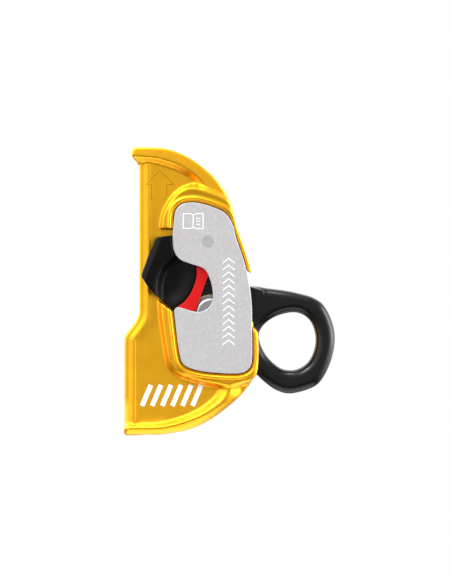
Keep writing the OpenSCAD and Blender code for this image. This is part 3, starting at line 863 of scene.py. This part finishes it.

# %% [markdown]
# ## Marks
#
# The plates and the cheeks carry white pad print. The marks here are generic:
# an open book for "read the manual", a column of arrowheads that points the
# way the load goes, and a row of slanted bars like the lay of a rope. Each
# stroke is a very thin solid that stands on the surface. The engraved arrow on
# the upper cheek is drawn the same way in a darker gold, which is painted shade:
# it stands for the shade in the arrow's groove, which the raised strokes do not cut.

# %% Marks


def strokes(name, lines, width, below, side, thick=0.05):
    """Thin raised strokes along lines of (x, z) points, laid on the piece below."""
    tree = BVHTree.FromPolygons([v.co for v in below.data.vertices],
                                [p.vertices for p in below.data.polygons])
    work = bmesh.new()

    def spot(p, rise):
        start = Vector(metres((p[0], side * 25, p[1])))
        hit = tree.ray_cast(start, Vector((0, -side, 0)))[0]
        return work.verts.new((hit.x, hit.y + side * rise * MM, hit.z))

    for points in lines:
        for k, (a, b) in enumerate(zip(points, points[1:])):
            a, b = np.array(a, float), np.array(b, float)
            # neighbours differ a little in height, so their tops never coincide
            top = thick + 0.008 * (k % 2 + 2 * (k == 0 and points[0] == points[-1]))
            along = (b - a) / np.linalg.norm(b - a)
            across = np.array([-along[1], along[0]]) * width / 2
            a, b = a - along * width / 2, b + along * width / 2
            steps = max(1, int(np.linalg.norm(b - a) / 0.8))
            rows = []
            for t in np.linspace(0, 1, steps + 1):
                p = a + (b - a) * t
                rows.append([spot(p - across, -0.1), spot(p + across, -0.1),
                             spot(p + across, top), spot(p - across, top)])
            for low, high in zip(rows, rows[1:]):
                for i in range(4):
                    j = (i + 1) % 4
                    work.faces.new((low[i], low[j], high[j], high[i]))
            work.faces.new(rows[0])
            work.faces.new(rows[-1])
    bmesh.ops.recalc_face_normals(work, faces=work.faces)
    mesh = bpy.data.meshes.new(name)
    work.to_mesh(mesh)
    work.free()
    piece = bpy.data.objects.new(name, mesh)
    bpy.context.scene.collection.objects.link(piece)
    return piece


book = [
    [(-8.6, 41.6), (-10, 41.0), (-13.4, 41.0), (-13.4, 48.2), (-10, 48.2), (-8.6, 47.6),
     (-8.6, 41.6), (-7.2, 41.0), (-3.8, 41.0), (-3.8, 48.2), (-7.2, 48.2), (-8.6, 47.6)],
    [(-7.0, 45.9), (-5.3, 45.9)], [(-7.0, 44.5), (-5.3, 44.5)], [(-7.0, 43.1), (-5.3, 43.1)],
]
arrowheads = [[(5.9, z), (8.6, z + 2.2), (11.3, z)] for z in np.arange(-15.2, 24.5, 3.3)]
rope_lay = [[(x, -44.0), (x + 3.4, -36.0)] for x in np.arange(-33.0, -8, 4.9)]
arrow = [[(-28.9, 55), (-28.9, 62.5), (-31.6, 62.5), (-24.8, 69.3), (-17.9, 62.5),
          (-21.5, 62.5), (-21.5, 57.5)]]
for side_name, side in SIDES:
    for mark, lines, width, below, material in (
            ("book_mark", book, 0.42, plates[side], ink),
            ("load_arrowheads", arrowheads, 0.5, plates[side], ink),
            ("rope_lay_bars", rope_lay, 2.3, forging, ink),
            # the engraved arrow's darker gold is painted shade of its groove
            ("engraved_arrow", arrow, 0.3, forging, groove_shade_gold)):
        piece = strokes(side_name + "_" + mark, lines, width, below, side)
        piece.data.materials.append(material)
        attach(piece, "body")
print("marks:", len(book), "+", len(arrowheads), "+", len(rope_lay), "strokes a side")

# %% [markdown]
# ## Floor and light
#
# The clamp hangs on its rope, so nothing touches the floor. A pale disc lies
# below it, out of the front view. The world is a studio tent: even in front,
# brighter up on the left, on the right and behind, and dim towards the ground.
# Four soft panels add to it: the key high on the left, one on the right that
# lights the eye's outer side, a small one above and one behind.

# %% Floor, world and lights
FLOOR_Z = -0.60
bpy.ops.mesh.primitive_circle_add(vertices=96, radius=0.45, fill_type="NGON",
                                  location=(0.03, 0.0, FLOOR_Z))
floor = bpy.context.object
floor.name = "floor"
floor.data.materials.append(finish_of("pale_studio_floor", "#E6E6E6", "#EFEFEF", 60.0, 2.0,
                                      0.02, 0.7, 0.02, IOR=1.45))

world = bpy.data.worlds.new("studio")
bpy.context.scene.world = world
world.use_nodes = True
sky = world.node_tree
sky.nodes.clear()
way = add(sky, "ShaderNodeTexCoord").outputs["Generated"]
parts = add(sky, "ShaderNodeSeparateXYZ", {"Vector": way})
# a bright field up on the left, a strip on the right, one behind, dim ground below
tent = add(sky, "ShaderNodeVectorMath", {
    0: way, 1: (-0.72, -0.05, 0.69)}, operation="DOT_PRODUCT")
tent = add(sky, "ShaderNodeMapRange", {
    "Value": tent.outputs["Value"], "From Min": 0.3, "From Max": 0.8,
    "To Min": 0.0, "To Max": 1.3}, interpolation_type="SMOOTHSTEP")
strip = add(sky, "ShaderNodeMapRange", {
    "Value": parts.outputs["X"], "From Min": 0.62, "From Max": 0.95,
    "To Min": 0.0, "To Max": 3.4}, interpolation_type="SMOOTHSTEP")
below = add(sky, "ShaderNodeMapRange", {
    "Value": parts.outputs["Z"], "From Min": -0.8, "From Max": -0.05,
    "To Min": 0.12, "To Max": 1.0}, interpolation_type="SMOOTHSTEP")
bright = add(sky, "ShaderNodeMath", {
    0: tent.outputs[0], 1: strip.outputs[0]}, operation="ADD")
behind = add(sky, "ShaderNodeMapRange", {
    "Value": parts.outputs["Y"], "From Min": 0.0, "From Max": 0.6,
    "To Min": 0.0, "To Max": 0.6}, interpolation_type="SMOOTHSTEP")
bright = add(sky, "ShaderNodeMath", {
    0: bright.outputs[0], 1: behind.outputs[0]}, operation="ADD")
FRONT_LEVEL = 0.64
bright = add(sky, "ShaderNodeMath", {0: bright.outputs[0], 1: FRONT_LEVEL}, operation="ADD")
bright = add(sky, "ShaderNodeMath", {
    0: bright.outputs[0], 1: below.outputs[0]}, operation="MULTIPLY")
seen = add(sky, "ShaderNodeLightPath").outputs["Is Camera Ray"]
# the camera itself sees plain white
level = add(sky, "ShaderNodeMix", {"Factor": seen, "A": bright.outputs[0], "B": 1.0})
back = add(sky, "ShaderNodeBackground", {
    "Color": linear("#FFFFFF"), "Strength": level.outputs[0]})
add(sky, "ShaderNodeOutputWorld", {"Surface": back.outputs[0]})


def panel_light(name, location, size, power):
    """A soft square light that faces the object."""
    data = bpy.data.lights.new(name, "AREA")
    data.shape = "RECTANGLE"
    data.size, data.size_y = size
    data.energy = power
    lamp = bpy.data.objects.new(name, data)
    lamp.location = location
    aim = Vector((0.02, 0, 0)) - Vector(location)
    lamp.rotation_euler = aim.to_track_quat("-Z", "Y").to_euler()
    bpy.context.scene.collection.objects.link(lamp)
    return lamp


panel_light("key_panel", (-0.8, -0.9, 1.2), (0.6, 0.45), 13.5)
panel_light("side_panel", (1.3, -0.1, 0.3), (0.4, 1.0), 12.0)
panel_light("top_panel", (0.1, -0.45, 1.5), (0.25, 0.25), 5.0)
panel_light("back_panel", (0.3, 1.3, 0.9), (0.9, 0.9), 3.0)
bpy.context.scene.view_settings.view_transform = "Standard"
